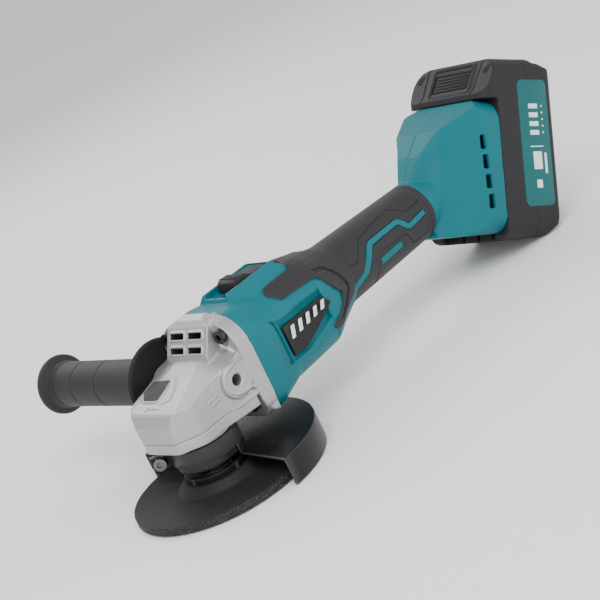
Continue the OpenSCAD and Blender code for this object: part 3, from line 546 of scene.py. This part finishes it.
SLOT_OF = {s["node"]: s["material_slot"] for s in frame["record"]["subparts"]}
for node, obj in NODES.items():
    obj.data.materials.clear()
    obj.data.materials.append(MATS[SLOT_OF[node]])
    obj.data.polygons.foreach_set("use_smooth", [False] * len(obj.data.polygons))


def dress(obj, material, body, *nodes, slot=None):
    """Gives a finished piece its material and its body, and hides the CAD nodes it stands for."""
    obj.data.materials.clear()
    obj.data.materials.append(MATS[material])
    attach(obj, body)
    if nodes:
        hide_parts(*nodes)
    return obj


# ---------- gear case ----------

WINDOW_TURN = Matrix.Rotation(math.radians(32), 3, "Y")
WINDOW_FIRST = Vector((17.4, 0, 19.6))
WINDOW_STEP = Vector((4.6, 0, 7.4))
WINDOW_Y = 8.6
DECK_Z = 1.8
DECK_SLOPE = 0.305
DECK_FRONT_X = -24
HOLE_SIDE = -1  # the handle is on the other side

case = from_node("gear_case", name="look_gear_case")
for side in (-1, 1):
    face = side * 34.1
    bead = [(24.4, 19.0, 24.5), (27.2, 13.4, 27.5), (25.4, 9.1, 33.4), (19.5, 8.6, 34.0), (12.6, 6.9, 33.9),
            (8.2, 2.2, 33.4), (8.6, -4.0, 33.4), (13.2, -8.8, 33.6), (19.7, -10.2, 33.9), (25.0, -9.4, 34.2),
            (27.4, -12.5, 34.0)]
    path = dense(eased([at_axis(x, side * y, z) for x, z, y in bead], 4 * MM), 0.6 * MM)
    add_to(case, pipe("bead", path, 1.25))
    ledge = [(27.4, -12.5, 34.0), (27.0, -16.0, 33.4), (16.0, -16.4, 31.8), (8.5, -16.6, 29.6)]
    add_to(case, pipe("ledge", dense([at_axis(x, side * y, z) for x, z, y in ledge], 0.6 * MM), 1.1))


def on_deck(x, y, h):
    """A point above the sloping deck of the gear case."""
    return at_axis(x, y, DECK_Z + DECK_SLOPE * (x - DECK_FRONT_X) + h)


def windows():
    """The middles of the four windows."""
    return [WINDOW_FIRST + row * WINDOW_STEP + Vector((0, side * WINDOW_Y, 0)) for row in (0, 1) for side in (-1, 1)]


def block(u, v, width, height, lean=0.0):
    """A rectangle about (u, v), or a slanted one."""
    return [(u - width / 2 - lean, v - height / 2), (u + width / 2 - lean, v - height / 2),
            (u + width / 2 + lean, v + height / 2), (u - width / 2 + lean, v + height / 2)]


pad = [(-15.6, 2.0), (-15.6, 16.0), (-9.5, 20.6), (-1.2, 18.6), (0.4, 4.2), (-7.2, 1.6)]
rim = rounded(pad, 2.5)
rim3 = [on_deck(p.x, p.y, 0.1) for p in rim]
add_to(case, pipe("pad_rim", dense(rim3 + rim3[:1], 0.6 * MM)[:-1], 0.95, closed=True))
ridge = [(-17.0, -1.5), (-14.0, -9.0), (-1.0, -4.0), (4.0, 2.0)]
add_to(case, pipe("facet_rim", dense(eased([on_deck(x, y, 0.0) for x, y in ridge], 3 * MM), 0.6 * MM), 0.7))
tab = slab("tab", rounded([(-19.5, 27), (-19.5, 31.5), (-15.5, 34.6), (-12.5, 31.5), (-12.5, 27)], 1),
           lambda y, z, h: at_axis(h, y, z), 33.5, CASE_BACK - 0.2)
add_to(case, tab)
for middle in windows():
    loop = [at_axis(*(middle + WINDOW_TURN @ Vector((-0.1, p.x, p.y)))) for p in rounded(block(0, 0, 13.6, 4.8), 1.2)]
    add_to(case, pipe("window_rim", dense(loop + loop[:1], 0.6 * MM)[:-1], 0.75, closed=True))
soften(case, detail(0.5, 0.9), 4)
marks = []
for i in range(3):
    for side in (-1, 1):
        z = -1.6 - 3.1 * i
        line = [at_axis(-4.6 + 0.9 * i, side * 28.85, z - 0.9), at_axis(3.0 + 0.4 * i, side * 29.2, z + 0.5)]
        marks.append(pipe("hatch", dense(line, 0.8 * MM), 0.55, 8))
arrow = [on_deck(-21.2, 8.4, 0.1), on_deck(-21.2, -3.6, 0.1)]
marks.append(pipe("arrow", dense(arrow, 0.8 * MM), 0.5, 8))
arrow_head = [on_deck(-22.9, 6.4, 0.1), on_deck(-21.2, 8.4, 0.1), on_deck(-19.6, 6.4, 0.1)]
marks.append(pipe("arrow_head", dense(arrow_head, 0.8 * MM), 0.5, 8))
for middle in windows():
    marks.append(slab("window", rounded(block(0, 0, 12.6, 3.8), 0.6),
                      lambda u, v, h: at_axis(*(middle + WINDOW_TURN @ Vector((h, u, v)))), -4, 9))
cut(case, *marks)
dress(case, "cast_aluminium", "housing", "gear_case")
# The inner faces of the four window openings take black plastic: painted shade where the openings are dark inside.
case.data.materials.append(MATS["black_plastic"])
for face in case.data.polygons:
    spot = (face.center - Vector((0, 0, AXIS_Z))) / MM
    for row in (0, 1):
        deep = WINDOW_TURN.transposed() @ (spot - WINDOW_FIRST - row * WINDOW_STEP)
        if deep.x > 0.9 and abs(deep.z) < 2.1 and 1.9 < abs(deep.y) < 15.3:
            face.material_index = 1

THREAD_R, THREAD_WALL_R, THREAD_DEPTH = 4.02, 4.3, 0.55
THREAD_TURNS, THREAD_PITCH, THREAD_MOUTH_Y = 10, 1.25, 33.6
profile = []
for i in range(THREAD_TURNS):
    y = i * THREAD_PITCH
    profile += [(THREAD_R, y), (THREAD_R - THREAD_DEPTH, y + THREAD_PITCH * 0.5)]
thread_end = THREAD_TURNS * THREAD_PITCH
profile += [(THREAD_R, thread_end), (THREAD_WALL_R, thread_end), (THREAD_WALL_R, 0)]
thread = lathe("handle_hole_thread", profile,
               lambda u, v, h: at_axis(HANDLE_X + u, HOLE_SIDE * (THREAD_MOUTH_Y - h), HANDLE_Z + v), 48)
dress(thread, "cast_aluminium", "housing")

retainer = from_node("bearing_retainer", name="look_retainer")
soften(retainer, detail(0.5, 0.9), 3)
dress(retainer, "cast_aluminium", "housing", "bearing_retainer")
# The neck below the clamp band takes dark steel: painted shade under the band.
retainer.data.materials.append(MATS["dark_steel"])
neck_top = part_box("guard_clamp")[1].z - 0.5 * MM
for face in retainer.data.polygons:
    face.material_index = int(face.center.z < neck_top)

# ---------- housing halves, rubber and the stripes let into it ----------

def wrap(x, angle, r, side):
    """A point round the motor axis: degrees up from level, on the side asked for."""
    a = math.radians(angle)
    return at_axis(x, side * r * math.cos(a), r * math.sin(a))


PER_DEGREE = 0.45


def radial(name, outline, side, low=12, high=62):
    """A wedge round the motor axis over an outline of (x, degrees)."""
    flat = [(x, a * PER_DEGREE) for x, a in outline]
    return slab(name, rounded(flat, 0.8), lambda u, v, h: wrap(u, v / PER_DEGREE, h, side), low, high, 1.5)


def radial_band(name, line, width, side, low=12, high=62):
    flat = [(x, a * PER_DEGREE) for x, a in line]
    return band(name, flat, width, lambda u, v, h: wrap(u, v / PER_DEGREE, h, side), low, high, 1.0)


def swollen(obj, distance, name):
    """A copy of a closed shape with its surface moved out along its normals."""
    copy = bpy.data.objects.new(name, obj.data.copy())
    bpy.context.scene.collection.objects.link(copy)
    m = copy.modifiers.new("swell", "DISPLACE")
    m.mid_level = 0
    m.strength = distance * MM
    return settle(copy)


def surface_line(tree, line, side, step=1.2):
    """Points on the outer surface under a line of (x, degrees)."""
    out = []
    for p in dense(eased([(x, a * PER_DEGREE) for x, a in line], 2.5), step):
        outer = wrap(p.x, p.y / PER_DEGREE, 70, side)
        hit = tree.ray_cast(outer, (at_axis(p.x, 0, 0) - outer).normalized())[0]
        if hit is not None:
            out.append(hit)
    return out


# outlines and lines on the grip, each point as (x, degrees up from level)
YOKE = [(106.7, 92), (106.7, 88), (98.5, 57), (74.2, 56), (70.8, 47), (76.6, 34), (107.2, 32), (112.4, 17),
        (121.6, -3), (118.2, -15), (107.4, -21), (101.7, -27), (106, -31), (114, -29), (124, -27.5), (131, -23),
        (136.8, -12), (140.2, 12.5), (131.5, 66), (127.3, 79), (123.8, 92)]
HOUSING_TIP = [(104, 30), (107.2, 31), (112.4, 17), (121.6, -3), (118.2, -15), (107.4, -21), (104, -21)]
STRIPE = [(106, -37), (122, -33), (132.1, -27.5), (151.5, -13.3), (165.1, 24.1), (194.8, 25.3), (201.2, 3.7),
          (219, 8.1)]
SHORT_STRIPE = [(167.8, -15.6), (189.8, -13.5)]
PANEL = [(125, 92), (128.5, 79), (132.7, 66), (141.4, 12.5), (148.9, 12.6), (157.8, 35), (160, 42), (193, 54),
         (197.9, 52), (206.2, 29), (221.8, 31)]
LOWER = [[(169.5, 0), (163.5, -26), (161, -56)], [(201.6, -31), (220, -33)], [(171, 1), (196, -3), (201.6, -31)]]
CHANNEL = [(109, 38), (118.3, 36), (126, 18), (130, -5), (121.4, -19), (110, -24)]
END_RING = [(223.4, -88), (223.4, 0), (223.4, 88)]

YOKE_RAISE = 1.4
INLAY_RAISE = 0.35
PANEL_OUTLINE = [(61.2, 11.6), (104, 10.2), (118.5, -1.6), (112.5, -6.5), (77, -16.4), (61.8, -16)]
PANEL_FRONT = [(56.8, 14.6), (60.6, 12.2), (61.4, -16.6), (56.6, -15.2), (58.4, -12), (58.2, 10)]
SIDE_Y, SIDE_X, SIDE_TAPER = 33.2, 60, 0.055  # the motor housing's side narrows to the back
VENTS = ((8.4, -1.0), (-4.7, -14.1), (-17.9, -27.3), (-31.0, -40.9))  # top and bottom of each
VENT_X, VENT_LEAN = -16.2, 0.062


def badge_panel(side, depth, outline, height=9):
    """A flat-bottomed solid lying along the side of the motor housing."""
    return slab("panel", rounded(outline, 1.2),
                lambda x, z, h: at_axis(x, side * (SIDE_Y - (x - SIDE_X) * SIDE_TAPER - depth + h), z), 0, height, 2)


grid = detail(0.62, 1.1)
HOUSINGS = ("housing_right", "housing_left")
RUBBERS = ("grip_rubber_right", "grip_rubber_left")
whole = soften(from_node(*HOUSINGS, *RUBBERS, name="whole"), grid, 3)
tree = BVHTree.FromObject(whole, bpy.context.evaluated_depsgraph_get())
shell = soften(from_node(*HOUSINGS, name="look_housing"), grid, 3)
grip = soften(from_node(*RUBBERS, name="look_grip_rubber"), grid, 3)
stripes = None
for side in (-1, 1):
    yoke = cut(swollen(whole, YOKE_RAISE, "yoke"), radial("yoke_cutter", YOKE, side, 20, 95), operation="INTERSECT")
    cut(yoke, radial_band("channel", CHANNEL, 3.2, side, 20), radial_band("slot", STRIPE, 5.6, side, 20))
    tip = cut(swollen(whole, INLAY_RAISE, "tip"), radial("tip_cutter", HOUSING_TIP, side, 20), operation="INTERSECT")

    cut(shell, badge_panel(side, 0.9, PANEL_OUTLINE))
    cut(shell, badge_panel(side, 1.7, PANEL_FRONT))
    for high, low in VENTS:
        back = VENT_X + (VENTS[0][0] - (high + low) / 2) * VENT_LEAN
        cut(shell, slab("vent", rounded([(back - 1.35, low + 0.3), (back + 1.35, low), (back + 1.1, high),
                                         (back - 1.35, high - 0.4)], 0.5),
                        lambda u, v, h: at_pack(u, side * h, v), 28, 45))
    add_to(shell, tip)

    cut(grip, radial_band("slot", STRIPE, 5.6, side), radial_band("short_slot", SHORT_STRIPE, 6.4, side))
    cut(grip, *[pipe("line", surface_line(tree, line, side), 0.6, 8) for line in [PANEL, END_RING] + LOWER])
    add_to(grip, yoke)

    for line, width in ((STRIPE, 4.3), (SHORT_STRIPE, 5.1)):
        piece = cut(swollen(whole, INLAY_RAISE, "look_grip_stripes"),
                    radial_band("stripe", line, width, side), operation="INTERSECT")
        stripes = add_to(stripes, piece) if stripes else piece

seam = slab("seam", [(30, -80), (330, -80), (330, 80), (30, 80)], lambda x, z, h: at_axis(x, h, z), -0.13, 0.13)
cut(shell, seam)
dress(shell, "teal_plastic", "housing", *HOUSINGS)
dress(grip, "grip_rubber", "housing", *RUBBERS)
dress(stripes, "teal_plastic", "housing")
bpy.data.objects.remove(whole)

# ---------- battery pack ----------

PLUG_R = 3.1
KEY_MARGIN = 1.9  # from the release button to the frame round it


def screw_plugs():
    """Covers over the deep screw holes in the front of the pack."""
    out = []
    for y in (-31, 31):
        for z in (-55, 53):
            outer = at_pack(-70, y + (4.6 if y < 0 else -4.6), z)
            hit = front_tree.ray_cast(outer, PACK_BASIS @ Vector((1, 0, 0)))[0]
            if hit is not None:
                depth = (PACK_BASIS.transposed() @ (hit - PACK_ORIGIN)).x / MM
                turns = [2 * math.pi * k / 32 for k in range(32)]
                ring = [(PLUG_R * math.cos(t), PLUG_R * math.sin(t)) for t in turns]
                out.append(slab("plug", ring, lambda u, v, h: at_pack(h, y + u, z + v), depth + 0.4, depth + 7))
    return out


def on_front(y, z):
    """A point on the pack's front surface, seen along the pack's own X."""
    return front_tree.ray_cast(at_pack(-70, y, z), PACK_BASIS @ Vector((1, 0, 0)))[0]


front = from_node("battery_front", name="look_battery_front")
front_tree = BVHTree.FromObject(front, bpy.context.evaluated_depsgraph_get())
add_to(front, *screw_plugs())
key = [PACK_BASIS.transposed() @ (v.co - PACK_ORIGIN) / MM for v in NODES["battery_button"].data.vertices]
key_y = max(abs(v.y) for v in key) + KEY_MARGIN
key_low, key_high = min(v.z for v in key) - KEY_MARGIN, max(v.z for v in key) + KEY_MARGIN
loop = dense(rounded([(-key_y, key_low), (key_y, key_low), (key_y, key_high), (-key_y, key_high)], 2.5), 1.0)
loop = [p for p in (on_front(p.x, p.y) for p in loop) if p is not None]
if len(loop) > 20:
    add_to(front, pipe("key_frame", loop, 1.0, closed=True))
soften(front, grid, 3)
for side in (-1, 1):
    for line in ([(key_y + 4.5, key_low - 6), (key_y + 6.5, key_high + 6)], [(30, -38), (30, 20), (26, key_low - 6)]):
        groove = [p for p in (on_front(side * q.x, q.y) for q in dense(line, 1.0)) if p is not None]
        if len(groove) > 3:
            cut(front, pipe("groove", groove, 0.5, 8))
dress(front, "charcoal_plastic", "battery", "battery_front")
rear = soften(from_node("battery_case", name="look_battery_case"), grid, 4)
dress(rear, "charcoal_plastic", "battery", "battery_case")


def printed(name, outlines, place, low, high, body):
    """Plain white marks that stand for a printed pattern."""
    marks = None
    for outline in outlines:
        mark = slab(name, rounded(outline, 0.5), place, low, high)
        marks = add_to(marks, mark) if marks else mark
    return dress(marks, "label_white", body)


for side in (-1, 1):
    low_label, high_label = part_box("battery_label_right" if side < 0 else "battery_label_left")
    face = (abs(low_label.y) if side < 0 else abs(high_label.y)) / MM
    marks = [block(34, 27 - 6 * k, 9, 3.2) for k in range(4)]
    marks += [block(35, -0.5, 13, 0.7), block(35, -10, 8.5, 12), block(43, -12, 2.2, 14), block(35, -26, 5.5, 5.5)]
    marks += [block(42.6, 9 + 4.5 * k, 1.3, 1.3) for k in range(5)]
    printed("look_label_marks", marks, lambda u, v, h: at_pack(u, side * h, v), face - 0.3, face + 0.06, "battery")
    badge_low, badge_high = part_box("side_badge_right" if side < 0 else "side_badge_left")
    face = (abs(badge_low.y) if side < 0 else abs(badge_high.y)) / MM
    marks = [block(70 + 7.2 * k, 0.4 + 0.5 * k, 3.0, 7.5 - 0.6 * k, 1.3) for k in range(5)]
    printed("look_badge_marks", marks, lambda u, v, h: at_axis(u, side * h, v), face - 0.3, face + 0.06, "housing")

# ---------- side handle ----------

BARREL_R = 14.8  # where the turned grooves lie
BARREL_GROOVES = (92, 119, 139)
COLLAR_END_Y = 42  # the darker collar ends here

handle = from_node("handle_grip", name="look_handle_grip")
soften(handle, detail(0.6, 1.0), 3)
ring_cuts = []
for y in BARREL_GROOVES:
    ring = [at_axis(HANDLE_X + BARREL_R * math.cos(t), y, HANDLE_Z + BARREL_R * math.sin(t))
            for t in [2 * math.pi * k / 72 for k in range(72)]]
    ring_cuts.append(pipe("ring", ring, 0.6, 8, closed=True))
cut(handle, *ring_cuts)
dress(handle, "grip_rubber", "side_handle", "handle_grip")
handle.data.materials.append(MATS["seal_rubber"])
for face in handle.data.polygons:
    face.material_index = int(face.center.y < COLLAR_END_Y * MM)

# ---------- guard, wheel and small hardware ----------

guard = from_node("wheel_guard", name="look_wheel_guard")
bevelled(guard, 0.7, 3, 40)
dress(guard, "black_steel", "guard", "wheel_guard")
clamp = from_node("guard_clamp", name="look_guard_clamp")
bevelled(clamp, 0.4, 2, 40)
dress(clamp, "black_steel", "guard", "guard_clamp")

wheel = from_node("grinding_wheel", name="look_grinding_wheel")
soften(wheel, detail(0.6, 0.9), 2)
grit = bpy.data.textures.new("grit", "CLOUDS")
grit.noise_scale = 1.3 * MM
grit.noise_depth = 2
rough = wheel.modifiers.new("grit", "DISPLACE")
rough.texture = grit
rough.texture_coords = "LOCAL"
rough.strength = 0.35 * MM
rough.mid_level = 0.6
settle(wheel)
dress(wheel, "abrasive", "spindle_set", "grinding_wheel")

for node, width, material, body in (
        ("lock_nut", 0.4, "dark_steel", "spindle_set"), ("inner_flange", 0.5, "black_steel", "spindle_set"),
        ("guard_screw", 0.35, "zinc_steel", "guard"), ("guard_nut", 0.3, "zinc_steel", "guard"),
        ("front_screws", 0.3, "dark_steel", "housing"), ("housing_screws", 0.3, "dark_steel", "housing"),
        ("retainer_screws", 0.3, "dark_steel", "housing"), ("lock_button", 0.5, "charcoal_plastic", "spindle_lock"),
        ("switch_slider", 0.8, "charcoal_plastic", "switch"), ("side_badge_right", 0.25, "badge_black", "housing"),
        ("side_badge_left", 0.25, "badge_black", "housing"), ("battery_button", 0.5, "charcoal_plastic", "pack_button"),
        ("battery_label_right", 0.12, "label_teal", "battery"), ("battery_label_left", 0.12, "label_teal", "battery")):
    dress(bevelled(from_node(node), width, 3), material, body, node)

for piece in (case, shell, grip, front, rear):
    thinned(piece)

# ---------- camera, light, floor ----------

EYE = at_axis(-547.59, -850.117, 336.165)
AIM = at_axis(111.228, 0.499, 0)
ROLL = -0.442
LENS = 107.9


def look():
    """The camera, rolled about its own line of sight."""
    cam = bpy.data.cameras.new("camera")
    cam.sensor_width = 36
    cam.lens = LENS
    cam.clip_end = 10
    obj = bpy.data.objects.new("camera", cam)
    bpy.context.scene.collection.objects.link(obj)
    forward = (AIM - EYE).normalized()
    right = forward.cross(Vector((0, 0, 1))).normalized()
    up = right.cross(forward)
    r2 = right * math.cos(ROLL) + up * math.sin(ROLL)
    u2 = -right * math.sin(ROLL) + up * math.cos(ROLL)
    basis = Matrix((r2, u2, -forward)).transposed().to_4x4()
    basis.translation = EYE
    obj.matrix_world = basis
    bpy.context.scene.camera = obj


def lamp(name, size, power, place, target):
    data = bpy.data.lights.new(name, "AREA")
    data.shape = "RECTANGLE"
    data.size, data.size_y = size
    data.energy = power
    obj = bpy.data.objects.new(name, data)
    bpy.context.scene.collection.objects.link(obj)
    obj.location = place
    obj.rotation_euler = (Vector(target) - Vector(place)).to_track_quat("-Z", "Y").to_euler()


look()
body_mid = at_axis(130, 0, 0)
lamp("key", (0.9, 0.7), 11, (-0.35, -0.55, 1.05), body_mid)
lamp("front_fill", (1.2, 0.9), 4.2, (-0.9, -0.9, 0.35), body_mid)
lamp("side_fill", (1.0, 0.8), 3.6, (0.75, -1.0, 0.45), body_mid)
lamp("back", (0.9, 0.5), 6, (0.35, 0.95, 0.8), body_mid)
world = bpy.data.worlds.new("studio")
bpy.context.scene.world = world
world.use_nodes = True
world.node_tree.nodes["Background"].inputs["Color"].default_value = (1, 1, 1, 1)
world.node_tree.nodes["Background"].inputs["Strength"].default_value = 0.85

floor = slab("floor", rounded([(-4, -4), (4, -4), (4, 4), (-4, 4)], 0.5), lambda x, y, h: Vector((x, y, h)), -0.02, 0)
floor.location.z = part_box("wheel_guard")[0].z - 0.0005
paper = Nodes("pale_floor", (0.93, 0.93, 0.935), 0.9)
paper.vary(paper.ramp(paper.noise(3, 2), 0.3, 0.7), (0.90, 0.90, 0.905), 0.5)
paper.bump(paper.noise(400, 3), 0.02)
floor.data.materials.append(paper.mat)

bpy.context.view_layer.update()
